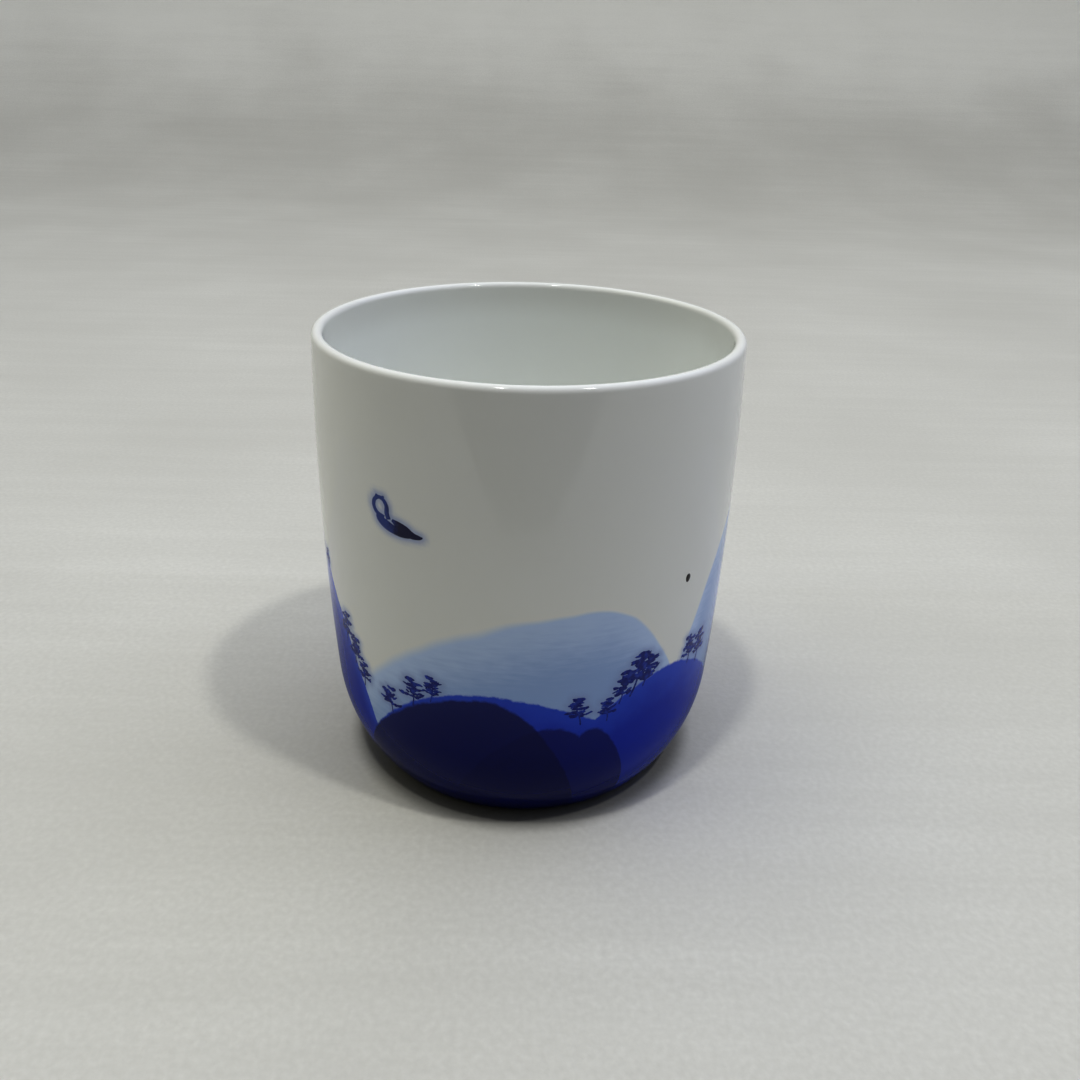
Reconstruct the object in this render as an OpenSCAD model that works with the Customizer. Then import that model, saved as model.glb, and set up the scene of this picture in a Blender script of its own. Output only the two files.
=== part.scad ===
// Handle-less porcelain teacup with a landscape painted in blue under its glaze.
// Millimetres, +Z up. The origin is the centre of the circle that the cup rests on.
// The painted front faces -Y, and angles round the cup run from -Y towards +X.

/* [Cup] */
// Height from the resting edge to the top of the lip
cup_h = 82; // [80:0.5:86]
// Widest outer radius
belly_r = 37.4; // [37:0.1:39]
// Height of the widest place
belly_z = 59; // [56:0.5:62]
// Radius of the long arc of the outer wall, in side view
wall_arc_r = 595; // [560:5:700]
// Radius of the arc that turns the wall in towards the foot
heel_arc_r = 32; // [31:0.25:33]
// Height at which the wall starts to turn in
heel_z = 18.3; // [17.5:0.1:19]

/* [Bowl] */
// Thickness of the lip across both glazes
lip_t = 2; // [1.8:0.1:2.4]
// Height of the widest place of the bowl
bowl_z = 68; // [64:0.5:72]
// Radius of the long arc of the inner wall, in side view
bowl_arc_r = 620; // [600:5:680]
// Radius of the arc between the inner wall and the floor
bowl_heel_r = 14; // [13:0.5:15]
// Height of the bowl's floor above the resting edge
floor_z = 5.6; // [5.4:0.1:6.4]

/* [Foot] */
// Height of the foot ring
foot_h = 2.4; // [2.2:0.1:2.6]
// Radius of the well inside the foot ring
well_r = 25.2; // [24:0.1:25.8]
// Rounding of the bare resting edge, and the height at which the glaze stops
foot_edge = 0.8; // [0.7:0.05:0.9]

/* [Glaze and paint] */
// Thickness of the clear glaze
glaze_t = 0.3; // [0.28:0.01:0.36]
// Thickness of the blue paint between the body and the outer glaze
paint_t = 0.12; // [0.1:0.01:0.14]
// Length of one straight step along a painted ridge, in degrees
ridge_step = 4; // [3:1:6]

/* [Hidden] */
$fn = 192;

lip_z = cup_h - lip_t / 2;
cut = 1;
// Roundness of every hilltop: 1 is a cosine wave, lower is a fuller dome
hill_fullness = 0.64;
// Inner and outer radius of the rings that cut the hills out of the paint
ring_in = 15;
ring_out = belly_r + 5;

// Each wall is drawn as straight steps along its two arcs, and is upright at the lip and the foot
wall_steps = 7;
heel_steps = 7;
upright = 0.5;
// Height at which the outer glaze hands over to the glaze of the lip
glaze_top = lip_z - upright / 2;

// A wall is [widest radius, its height, long arc, heel arc], then the angle of the wall's inward
// lean at the lip, where the heel arc starts, and at its lower end
wall_turn = asin((belly_z - heel_z) / wall_arc_r);
wall_low = asin((belly_z - foot_edge - upright - (wall_arc_r - heel_arc_r) * sin(wall_turn)) / heel_arc_r);
outside = [belly_r, belly_z, wall_arc_r, heel_arc_r, asin((belly_z - lip_z + upright) / wall_arc_r),
    wall_turn, wall_low];
bowl_lean = asin((bowl_z - lip_z + upright) / bowl_arc_r);
bowl_widest_r = lip_r(outside, 0) - lip_t + bowl_arc_r * (1 - cos(bowl_lean));
bowl_turn = asin((bowl_z - floor_z - bowl_heel_r) / (bowl_arc_r - bowl_heel_r));
bowl = [bowl_widest_r, bowl_z, bowl_arc_r, bowl_heel_r, bowl_lean, bowl_turn, 90];

// Hills: [angle of the top, spread to its left, spread to its right, height]
FAR_HILLS = [[18, 90, 39, 45.5], [78, 38, 60, 54], [150, 48, 40, 38], [-160, 60, 50, 42]];
NEAR_HILLS = [[-90, 60, 50, 50], [-10, 47, 60, 30], [42, 44, 45, 30.4], [112, 60, 50, 33],
    [170, 50, 60, 28], [-135, 50, 60, 34]];
FOREGROUND_HILLS = [[-10, 48, 28, 28.8], [8, 30, 22, 23.3], [19, 12, 15, 22.4], [92, 40, 30, 18],
    [-165, 50, 40, 20]];

// Pines: [angle, height of the root, height of the tree, lean]
PINES = [[-55, 31.5, 5, 8], [-50.5, 28.5, 5, 6], [-46.5, 23.5, 4.5, 4], [-38, 21.5, 4.6, -4],
    [-30, 25, 5, 0], [-24.3, 27, 4.4, 6], [15.3, 24.3, 4.8, -8], [23, 24, 4, 0], [26.5, 27, 4.8, 10],
    [30, 28.2, 7.2, 14], [34, 29.3, 5.4, 10], [52, 29, 5, 0], [57, 27.8, 5.6, 6], [104, 32, 5, -6],
    [109, 32.4, 6, 4], [163, 27.2, 5, 0], [-128, 33, 5.5, 6], [-141, 32.8, 5, -4]];

// The point of a wall at one angle of lean, and the whole wall, when it is moved outwards by grow
function heel_x(w) = w[0] - w[2] + (w[2] - w[3]) * cos(w[5]);
function heel_y(w) = w[1] - (w[2] - w[3]) * sin(w[5]);
function long_point(w, grow, a) = [w[0] - w[2] + (w[2] + grow) * cos(a), w[1] - (w[2] + grow) * sin(a)];
function heel_point(w, grow, a) = [heel_x(w) + (w[3] + grow) * cos(a), heel_y(w) - (w[3] + grow) * sin(a)];
function side(w, grow) = [
    for (i = [0 : wall_steps]) long_point(w, grow, w[4] + (w[5] - w[4]) * i / wall_steps),
    for (i = [1 : heel_steps]) heel_point(w, grow, w[5] + (w[6] - w[5]) * i / heel_steps)];
function lip_r(w, grow) = long_point(w, grow, w[4])[0];
function foot_r(grow) = heel_point(outside, grow, outside[6])[0];

// Height of one hill, and of the highest of several hills, at angle a
function turn(a) = a - 360 * round(a / 360);
function spread(d, hill) = d < 0 ? hill[1] : hill[2];
function hill_height(a, d, hill) =
    abs(d) < spread(d, hill) ? hill[3] * pow(cos(90 * d / spread(d, hill)), hill_fullness) : 0;
function ridge(a, hills) = max([for (hill = hills) hill_height(a, turn(a - hill[0]), hill)]);

// Everything between two heights, in side view
module band(low, high) {
    translate([0, low])
        square([2 * belly_r, high - low]);
}

// The areas inside the outer wall and inside the bowl, from the axis out, carried up past the lip
function mouth(w, grow) = [[0, cup_h + cut], [lip_r(w, grow), cup_h + cut]];

module outside_area(depth) {
    polygon(concat([[0, -cut]], mouth(outside, -depth), side(outside, -depth), [[foot_r(-depth), -cut]]));
}

module bowl_area(grow) {
    polygon(concat([[0, floor_z - grow]], mouth(bowl, grow), side(bowl, grow)));
}

// The rounded lip down to where the outer glaze ends, with depth taken off its surface
module lip_cap(depth) {
    r_out = lip_r(outside, -depth);
    r_in = lip_r(bowl, depth);
    intersection() {
        union() {
            translate([(r_out + r_in) / 2, lip_z])
                circle(r = (r_out - r_in) / 2);
            translate([r_in, glaze_top])
                square([r_out - r_in, lip_z - glaze_top]);
        }
        band(glaze_top, cup_h + cut);
    }
}

// A skin on the outer wall, between two depths below the glazed surface
module outer_skin(depth_out, depth_in, low) {
    rotate_extrude()
        intersection() {
            difference() {
                outside_area(depth_out);
                outside_area(depth_in);
            }
            band(low, glaze_top);
        }
}

module paint_skin() {
    outer_skin(glaze_t - paint_t, glaze_t, foot_edge);
}

// A ring whose upper side rises and falls with the ridge line of some hills
module landscape(hills) {
    steps = 360 / ridge_step;
    corners = [for (i = [0 : steps - 1])
        let (a = i * ridge_step, z = ridge(a, hills), s = sin(a), c = cos(a))
        each [[ring_in * s, -ring_in * c, -cut], [ring_out * s, -ring_out * c, -cut],
            [ring_out * s, -ring_out * c, z], [ring_in * s, -ring_in * c, z]]];
    sides = [for (i = [0 : steps - 1], k = [0 : 3]) let (j = (i + 1) % steps, m = (k + 1) % 4)
        [4 * i + k, 4 * i + m, 4 * j + m, 4 * j + k]];
    polyhedron(points = corners, faces = sides, convexity = 10);
}

// Flat shapes pushed one by one through the wall at angle a and height z
module stamp(a, z, lean) {
    rotate([0, 0, a])
        translate([0, -ring_in, z])
            rotate([90, -lean, 0])
                for (i = [0 : $children - 1])
                    linear_extrude(height = ring_out - ring_in)
                        children(i);
}

// Pines: a thin trunk with three overlapping pads of needles
module pine_stamps() {
    for (p = PINES) {
        h = p[2];
        stamp(p[0], p[1], p[3]) {
            translate([-0.05 * h, -0.5])
                square([0.1 * h, 0.9 * h]);
            translate([-0.07 * h, 0.42 * h])
                circle(r = 0.2 * h);
            translate([0.07 * h, 0.68 * h])
                circle(r = 0.17 * h);
            translate([0, 0.9 * h])
                circle(r = 0.13 * h);
        }
    }
}

// A small bird in two strokes: an open ring with a body under it, and a tail
module bird_stamp() {
    stamp(-33, 58, 0) {
        difference() {
            translate([-3.2, 2.2])
                circle(r = 1.5);
            translate([-3.2, 2.4])
                circle(r = 0.9);
        }
        translate([-2.4, 0.3])
            circle(r = 1.1);
        translate([-0.9, 0])
            circle(r = 1.1);
        polygon([[-1.2, 1.1], [0.4, 1], [4, -0.6], [3.8, -1.1], [-0.8, -1.1]]);
    }
}

module speck_stamp() {
    stamp(46.2, 46.9, 12) {
        translate([0, 0.25])
            circle(r = 0.4);
        translate([0, -0.25])
            circle(r = 0.4);
    }
}

module porcelain_body() {
    color("whitesmoke") {
        rotate_extrude()
            difference() {
                intersection() {
                    outside_area(glaze_t);
                    band(foot_h, lip_z);
                }
                bowl_area(glaze_t);
            }
        rotate_extrude()
            lip_cap(glaze_t);
    }
}

module foot_ring() {
    bare_r = foot_r(-glaze_t);
    turns = [0 : 15 : 90];
    color("linen")
        rotate_extrude()
            intersection() {
                outside_area(glaze_t);
                polygon(concat(
                    [[well_r, foot_h]],
                    [for (t = turns) [well_r + foot_edge * (1 - cos(t)), foot_edge * (1 - sin(t))]],
                    [for (t = turns) [bare_r - foot_edge * (1 - sin(t)), foot_edge * (1 - cos(t))]],
                    [[belly_r, foot_edge], [belly_r, foot_h]]));
            }
}

module outer_glaze() {
    color("azure")
        difference() {
            outer_skin(0, glaze_t, foot_edge);
            intersection() {
                outer_skin(glaze_t - paint_t, glaze_t + paint_t, foot_edge - paint_t);
                union() {
                    landscape(concat(FAR_HILLS, NEAR_HILLS, FOREGROUND_HILLS));
                    pine_stamps();
                    bird_stamp();
                    speck_stamp();
                }
            }
        }
}

module inner_glaze() {
    color("mintcream") {
        rotate_extrude()
            intersection() {
                difference() {
                    bowl_area(glaze_t);
                    bowl_area(0);
                }
                band(0, lip_z);
            }
        rotate_extrude()
            difference() {
                lip_cap(0);
                lip_cap(glaze_t);
            }
    }
}

module well_glaze() {
    color("azure")
        translate([0, 0, foot_h - glaze_t])
            cylinder(r = well_r - foot_edge, h = glaze_t);
}

module far_hills() {
    color("lightsteelblue")
        difference() {
            intersection() {
                paint_skin();
                landscape(FAR_HILLS);
            }
            landscape(concat(NEAR_HILLS, FOREGROUND_HILLS));
            pine_stamps();
        }
}

module near_hills() {
    color("mediumblue")
        difference() {
            intersection() {
                paint_skin();
                landscape(NEAR_HILLS);
            }
            landscape(FOREGROUND_HILLS);
        }
}

module foreground_hills() {
    color("midnightblue")
        intersection() {
            paint_skin();
            landscape(FOREGROUND_HILLS);
        }
}

module pine_trees() {
    color("navy")
        difference() {
            intersection() {
                paint_skin();
                pine_stamps();
            }
            landscape(concat(NEAR_HILLS, FOREGROUND_HILLS));
        }
}

module bird_mark() {
    color("darkblue")
        intersection() {
            paint_skin();
            bird_stamp();
        }
}

module iron_speck() {
    color("black")
        intersection() {
            paint_skin();
            speck_stamp();
        }
}

porcelain_body();
foot_ring();
outer_glaze();
inner_glaze();
well_glaze();
far_hills();
near_hills();
foreground_hills();
pine_trees();
bird_mark();
iron_speck();
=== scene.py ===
import math

import bmesh
import bpy
from mathutils import Matrix, Vector
from mathutils.kdtree import KDTree


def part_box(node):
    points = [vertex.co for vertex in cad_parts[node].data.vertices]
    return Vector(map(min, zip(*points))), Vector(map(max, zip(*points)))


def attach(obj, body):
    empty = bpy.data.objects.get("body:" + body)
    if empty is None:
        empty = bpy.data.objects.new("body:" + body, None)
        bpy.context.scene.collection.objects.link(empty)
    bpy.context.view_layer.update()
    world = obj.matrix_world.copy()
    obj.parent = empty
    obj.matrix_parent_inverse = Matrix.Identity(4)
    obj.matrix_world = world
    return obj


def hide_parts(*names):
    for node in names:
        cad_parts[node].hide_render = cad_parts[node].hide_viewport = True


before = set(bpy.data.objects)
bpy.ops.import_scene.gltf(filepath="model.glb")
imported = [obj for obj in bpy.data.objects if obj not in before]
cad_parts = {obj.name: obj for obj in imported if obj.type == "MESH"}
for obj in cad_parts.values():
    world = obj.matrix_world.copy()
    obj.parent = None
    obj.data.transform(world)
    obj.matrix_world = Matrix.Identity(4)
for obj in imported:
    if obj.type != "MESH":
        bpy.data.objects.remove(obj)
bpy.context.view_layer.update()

# ---------------------------------------------------------------------------------------------
# Outer wall
# The cup is thrown in white porcelain, turned, painted in cobalt and dipped in clear glaze. This
# is the glaze skin of the outer wall, from just under the lip down to the bare resting edge,
# with the painted landscape showing through it. It is fired on to the porcelain body.

MM = 0.001
WHEEL_STEPS = 320          # steps round the cup
PROFILE_STEP = 0.7         # mm between points along a wall
NODE_GAP = 180             # spacing of the nodes in a tree, for whoever opens it

cup_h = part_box("inner_glaze")[1].z / MM
belly_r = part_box("outer_glaze")[1].x / MM
glaze_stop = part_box("outer_glaze")[0].z / MM
glaze_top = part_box("outer_glaze")[1].z / MM
glaze_t = (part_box("outer_glaze")[1].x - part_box("porcelain_body")[1].x) / MM
lip_t = 2.0
lip_z = cup_h - lip_t / 2


class Wall:
    """One face of the cup in side view: a long shallow arc above a tighter heel arc."""

    def __init__(self, widest, widest_z, long_arc, heel_arc, turn):
        self.widest, self.widest_z = widest, widest_z
        self.long_arc, self.heel_arc, self.turn = long_arc, heel_arc, turn
        self.heel_x = widest - long_arc + (long_arc - heel_arc) * math.cos(turn)
        self.heel_z = widest_z - (long_arc - heel_arc) * math.sin(turn)

    def radius(self, z, grow=0.0):
        if z > self.widest_z - (self.long_arc + grow) * math.sin(self.turn):
            rise = z - self.widest_z
            return self.widest - self.long_arc + math.sqrt((self.long_arc + grow) ** 2 - rise ** 2)
        rise = z - self.heel_z
        return self.heel_x + math.sqrt((self.heel_arc + grow) ** 2 - rise ** 2)

    def side(self, high, low, grow=0.0):
        """Points down the face from one height to another, moved outwards by grow."""
        top = math.asin((self.widest_z - high) / (self.long_arc + grow))
        end = math.asin(min(1.0, (self.heel_z - low) / (self.heel_arc + grow)))
        arcs = ((self.widest - self.long_arc, self.widest_z, self.long_arc + grow, top, self.turn),
                (self.heel_x, self.heel_z, self.heel_arc + grow, self.turn, end))
        points = []
        for x, z, r, start, stop in arcs:
            count = max(2, round((stop - start) * r / PROFILE_STEP))
            for i in range(count + 1):
                a = start + (stop - start) * i / count
                points.append((x + r * math.cos(a), z - r * math.sin(a)))
        return [p for i, p in enumerate(points) if i == 0 or math.dist(p, points[i - 1]) > 0.01]


belly_z, heel_z = 59.0, 18.3         # where the wall is widest, and where its heel starts
wall_arc_r, heel_arc_r = 595.0, 32.0
outside = Wall(belly_r, belly_z, wall_arc_r, heel_arc_r, math.asin((belly_z - heel_z) / wall_arc_r))


def arc(x, z, r, start, stop, count):
    """Points along an arc in side view, from one angle to another in degrees."""
    angles = [math.radians(start + (stop - start) * i / count) for i in range(count + 1)]
    return [(x + r * math.cos(a), z + r * math.sin(a)) for a in angles]


def link(tree, source, target):
    """Joins an output socket to an input socket."""
    tree.links.new(source, target)


def node(tree, kind, place, inputs=None, **settings):
    """A node at a column and row of its tree, with settings, and inputs by name or number."""
    made = tree.nodes.new(kind)
    made.location = (place[0] * NODE_GAP, -place[1] * NODE_GAP)
    for key, value in settings.items():
        setattr(made, key, value)
    for key, value in (inputs or {}).items():
        if isinstance(value, bpy.types.NodeSocket):
            link(tree, value, made.inputs[key])
        else:
            made.inputs[key].default_value = value
    return made


def maths(tree, place, operation, *values):
    """The output of a Math node on sockets or numbers."""
    made = node(tree, "ShaderNodeMath", place, operation=operation)
    for i, value in enumerate(values):
        if isinstance(value, bpy.types.NodeSocket):
            link(tree, value, made.inputs[i])
        else:
            made.inputs[i].default_value = value
    return made.outputs[0]


def between(tree, place, factor, a, b):
    """A number going over from a to b."""
    return node(tree, "ShaderNodeMix", place, {"Factor": factor, "A": a, "B": b}).outputs[0]


def noise(tree, place, where, scale, detail, roughness=0.5):
    """The output of a Noise Texture node."""
    return node(tree, "ShaderNodeTexNoise", place, {
        "Vector": where, "Scale": scale, "Detail": detail, "Roughness": roughness}).outputs[0]


def socket(tree, name, kind, default=None, out=False):
    """A named input, or output, of a tree."""
    made = tree.interface.new_socket(name, in_out="OUTPUT" if out else "INPUT", socket_type=kind)
    if default is not None:
        made.default_value = default
    return made


def potters_wheel():
    """Geometry nodes that turn a closed profile, x outwards and z up, once round the cup's axis."""
    tree = bpy.data.node_groups.new("turned on the wheel", "GeometryNodeTree")
    socket(tree, "Profile", "NodeSocketGeometry")
    socket(tree, "Points", "NodeSocketInt", 10)
    socket(tree, "Steps", "NodeSocketInt", 64)
    socket(tree, "Crease Angle", "NodeSocketFloat", math.radians(35))
    socket(tree, "Finish", "NodeSocketMaterial")
    socket(tree, "Cup", "NodeSocketGeometry", out=True)
    given = node(tree, "NodeGroupInput", (0, 0)).outputs
    rows = maths(tree, (1, 1), "ADD", given["Points"], 1.0)
    columns = maths(tree, (1, 2), "ADD", given["Steps"], 1.0)
    sheet = node(tree, "GeometryNodeMeshGrid", (2, 0), {
        "Size X": given["Points"], "Size Y": given["Steps"], "Vertices X": rows, "Vertices Y": columns})
    place = node(tree, "GeometryNodeInputPosition", (2, 2)).outputs[0]
    apart = node(tree, "ShaderNodeSeparateXYZ", (3, 2), {0: place}).outputs
    row = maths(tree, (4, 1), "ADD", apart[0], maths(tree, (3, 1), "MULTIPLY", given["Points"], 0.5))
    row = maths(tree, (5, 1), "MODULO", maths(tree, (4, 0), "ROUND", row), given["Points"])
    column = maths(tree, (4, 3), "ADD", apart[1], maths(tree, (3, 3), "MULTIPLY", given["Steps"], 0.5))
    turn = maths(tree, (6, 3), "MULTIPLY", maths(tree, (5, 3), "DIVIDE", column, given["Steps"]), math.tau)
    from_profile = node(tree, "GeometryNodeSampleIndex", (6, 1), {"Geometry": given["Profile"]},
                        data_type="FLOAT_VECTOR", domain="POINT")
    link(tree, node(tree, "GeometryNodeInputPosition", (5, 2)).outputs[0], from_profile.inputs["Value"])
    link(tree, row, from_profile.inputs["Index"])
    side = node(tree, "ShaderNodeSeparateXYZ", (7, 1), {0: from_profile.outputs[0]}).outputs
    x = maths(tree, (8, 2), "MULTIPLY", side[0], maths(tree, (7, 3), "SINE", turn))
    y = maths(tree, (8, 3), "MULTIPLY", side[0], maths(tree, (7, 4), "COSINE", turn))
    y = maths(tree, (9, 3), "MULTIPLY", y, -1.0)
    around = node(tree, "ShaderNodeCombineXYZ", (10, 2), {0: x, 1: y, 2: side[2]})
    turned = node(tree, "GeometryNodeSetPosition", (11, 0), {
        "Geometry": sheet.outputs["Mesh"], "Position": around.outputs[0]})
    closed = node(tree, "GeometryNodeMergeByDistance", (12, 0), {
        "Geometry": turned.outputs[0], "Distance": 0.002 * MM})
    bend = node(tree, "GeometryNodeInputMeshEdgeAngle", (11, 2)).outputs["Unsigned Angle"]
    crease = node(tree, "FunctionNodeCompare", (12, 2), {0: bend, 1: given["Crease Angle"]},
                  data_type="FLOAT", operation="GREATER_THAN")
    smooth = node(tree, "GeometryNodeSetShadeSmooth", (13, 0), {
        "Geometry": closed.outputs[0], "Shade Smooth": True}, domain="FACE")
    sharp = node(tree, "GeometryNodeSetShadeSmooth", (14, 0), {
        "Geometry": smooth.outputs[0], "Selection": crease.outputs[0], "Shade Smooth": False}, domain="EDGE")
    whole = node(tree, "GeometryNodeRealizeInstances", (15, 0), {0: sharp.outputs[0]})
    painted = node(tree, "GeometryNodeSetMaterial", (16, 0), {
        "Geometry": whole.outputs[0], "Material": given["Finish"]})
    node(tree, "NodeGroupOutput", (17, 0), {0: painted.outputs[0]})
    return tree


def placed(name, data):
    """A new object in the scene."""
    made = bpy.data.objects.new(name, data)
    bpy.context.collection.objects.link(made)
    return made


def grown(start, tree, name, **inputs):
    """Runs a Geometry Nodes tree on a mesh and returns its result as a plain object."""
    seed = placed(name + "_start", start)
    modifier = seed.modifiers.new("grown", "NODES")
    modifier.node_group = tree
    for item in tree.interface.items_tree:
        if item.in_out == "INPUT" and item.name in inputs:
            modifier[item.identifier] = inputs[item.name]
    ready = seed.evaluated_get(bpy.context.evaluated_depsgraph_get())
    mesh = bpy.data.meshes.new_from_object(ready)
    mesh.name = name
    bpy.data.objects.remove(seed)
    shape = bmesh.new()
    shape.from_mesh(mesh)
    if shape.calc_volume(signed=True) < 0:
        bmesh.ops.reverse_faces(shape, faces=shape.faces)
    shape.to_mesh(mesh)
    shape.free()
    return placed(name, mesh)


wheel = potters_wheel()


def thrown(name, profile, finish):
    """A closed profile, in millimetres, turned into a piece of the cup."""
    start = bpy.data.meshes.new(name + "_profile")
    start.from_pydata([(x * MM, 0, z * MM) for x, z in profile], [], [])
    return grown(start, wheel, name,
                 **{"Points": len(profile), "Steps": WHEEL_STEPS, "Finish": finish})


def glaze_grain():
    """Shader group: the faint unevenness of a fired glaze, as tone, roughness and height."""
    tree = bpy.data.node_groups.new("glaze grain", "ShaderNodeTree")
    socket(tree, "Tone Change", "NodeSocketFloat", 0.03)
    socket(tree, "Smoothness", "NodeSocketFloat", 0.04)
    socket(tree, "Tone", "NodeSocketFloat", out=True)
    socket(tree, "Roughness", "NodeSocketFloat", out=True)
    socket(tree, "Height", "NodeSocketFloat", out=True)
    given = node(tree, "NodeGroupInput", (0, 0)).outputs
    where = node(tree, "ShaderNodeTexCoord", (0, 2)).outputs["Object"]
    cloud = noise(tree, (1, 0), where, 55.0, 3.0)
    ripple = noise(tree, (1, 1), where, 420.0, 2.0)
    peel = noise(tree, (1, 2), where, 1500.0, 1.0)
    tone = maths(tree, (2, 0), "SUBTRACT", cloud, 0.5)
    tone = maths(tree, (3, 0), "MULTIPLY_ADD", tone, given["Tone Change"], 1.0)
    rough = maths(tree, (2, 1), "MULTIPLY_ADD", ripple, 0.05, given["Smoothness"])
    height = maths(tree, (3, 2), "MULTIPLY_ADD", ripple, 3.0, peel)
    node(tree, "NodeGroupOutput", (4, 0), {"Tone": tone, "Roughness": rough, "Height": height})
    return tree


grain = glaze_grain()


def painted_hill():
    """Shader group: how far a place on the wall lies under the top line of one hill, in mm."""
    tree = bpy.data.node_groups.new("painted hill", "ShaderNodeTree")
    for name in ("Angle", "Height", "Top Angle", "Left Spread", "Right Spread", "Top Height"):
        socket(tree, name, "NodeSocketFloat", 10.0)
    socket(tree, "Depth", "NodeSocketFloat", out=True)
    given = node(tree, "NodeGroupInput", (0, 0)).outputs
    off = maths(tree, (1, 0), "SUBTRACT", given["Angle"], given["Top Angle"])
    off = maths(tree, (2, 0), "WRAP", off, 180.0, -180.0)
    right = maths(tree, (3, 1), "GREATER_THAN", off, 0.0)
    spread = between(tree, (4, 1), right, given["Left Spread"], given["Right Spread"])
    part = maths(tree, (5, 0), "DIVIDE", maths(tree, (4, 0), "ABSOLUTE", off), spread)
    part = maths(tree, (6, 0), "MINIMUM", part, 1.0)
    curve = maths(tree, (8, 0), "COSINE", maths(tree, (7, 0), "MULTIPLY", part, math.pi / 2))
    curve = maths(tree, (9, 0), "POWER", maths(tree, (8, 1), "MAXIMUM", curve, 0.0), 0.64)
    ridge = maths(tree, (10, 0), "MULTIPLY", curve, given["Top Height"])
    depth = maths(tree, (11, 0), "SUBTRACT", ridge, given["Height"])
    node(tree, "NodeGroupOutput", (12, 0), {"Depth": depth})
    return tree


hill = painted_hill()

# Hills: angle of the top, spread to its left and right in degrees, height in mm
FAR_HILLS = ((18, 90, 39, 45.5), (78, 41, 60, 54), (150, 48, 40, 38), (-160, 60, 50, 42))
NEAR_HILLS = ((-90, 60, 50, 50), (-10, 47, 60, 30), (42, 44, 45, 30.4), (112, 60, 50, 33),
              (170, 50, 60, 28), (-135, 50, 60, 34))
DARK_MOUNDS = ((-10, 48, 28, 28.8), (92, 40, 30, 18), (-165, 50, 40, 20))
DEEP_MOUNDS = ((8, 30, 22, 23.3), (19, 12, 15, 22.4))


def deepest(tree, place, angle, height, hills):
    """How far a place lies under the highest of several hills."""
    best = None
    for i, (top, left, right, tall) in enumerate(hills):
        made = node(tree, "ShaderNodeGroup", (place[0], place[1] + i), {}, node_tree=hill)
        for name, value in (("Angle", angle), ("Height", height)):
            link(tree, value, made.inputs[name])
        for name, value in (("Top Angle", top), ("Left Spread", left), ("Right Spread", right),
                            ("Top Height", tall)):
            made.inputs[name].default_value = value
        depth = made.outputs[0]
        best = depth if best is None else maths(tree, (place[0] + 1, place[1] + i), "MAXIMUM", best, depth)
    return best


def ramp(tree, place, value, low, high, out_low=0.0, out_high=1.0):
    """value rising smoothly from out_low at low to out_high at high."""
    made = node(tree, "ShaderNodeMapRange", place, {
        "Value": value, "From Min": low, "From Max": high, "To Min": out_low, "To Max": out_high},
        interpolation_type="SMOOTHSTEP")
    return made.outputs[0]


def mixed(tree, place, factor, a, b):
    """Colour a going over to colour b."""
    made = node(tree, "ShaderNodeMix", place, data_type="RGBA")
    for key, value in ((0, factor), (6, a), (7, b)):
        if isinstance(value, bpy.types.NodeSocket):
            link(tree, value, made.inputs[key])
        else:
            made.inputs[key].default_value = value if key == 0 else (*value, 1.0)
    return made.outputs[2]


def waved(tree, place, value, wave, size):
    """value moved up and down by a noise, by size in all."""
    start = maths(tree, place, "SUBTRACT", value, size / 2)
    return maths(tree, (place[0] + 1, place[1]), "MULTIPLY_ADD", wave, size, start)


PORCELAIN_WHITE = (0.82, 0.83, 0.79)
WASH_PALE = (0.54, 0.67, 0.90)
WASH_BLUE = (0.34, 0.47, 0.74)
COBALT_LIGHT = (0.025, 0.08, 0.58)
COBALT_BLUE = (0.008, 0.032, 0.42)
COBALT_DEEP = (0.002, 0.007, 0.15)
COBALT_DARK = (0.0015, 0.004, 0.095)
STAIN_BLUE = (0.28, 0.36, 0.62)
STAIN_STRENGTH = 0.75


def new_finish(name, column):
    """A new material, its tree and its shader, which stands at a column of the tree."""
    finish = bpy.data.materials.new(name)
    finish.use_nodes = True
    tree = finish.node_tree
    shader = tree.nodes["Principled BSDF"]
    shader.location = (column * NODE_GAP, 0)
    tree.nodes["Material Output"].location = ((column + 2) * NODE_GAP, 0)
    return finish, tree, shader


def glazed(name, colour_of):
    """A high-gloss glaze over a colour that colour_of builds in the material's tree."""
    finish, tree, shader = new_finish(name, 16)
    surface = node(tree, "ShaderNodeGroup", (12, 4), {}, node_tree=grain)
    colour = colour_of(tree)
    toned = node(tree, "ShaderNodeVectorMath", (14, 0), {0: colour}, operation="SCALE")
    link(tree, surface.outputs["Tone"], toned.inputs["Scale"])
    link(tree, toned.outputs[0], shader.inputs["Base Color"])
    link(tree, surface.outputs["Roughness"], shader.inputs["Roughness"])
    bump = node(tree, "ShaderNodeBump", (15, 3), {
        "Height": surface.outputs["Height"], "Strength": 0.05, "Distance": 0.02 * MM})
    link(tree, bump.outputs[0], shader.inputs["Normal"])
    shader.inputs["IOR"].default_value = 1.4
    return finish


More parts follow.
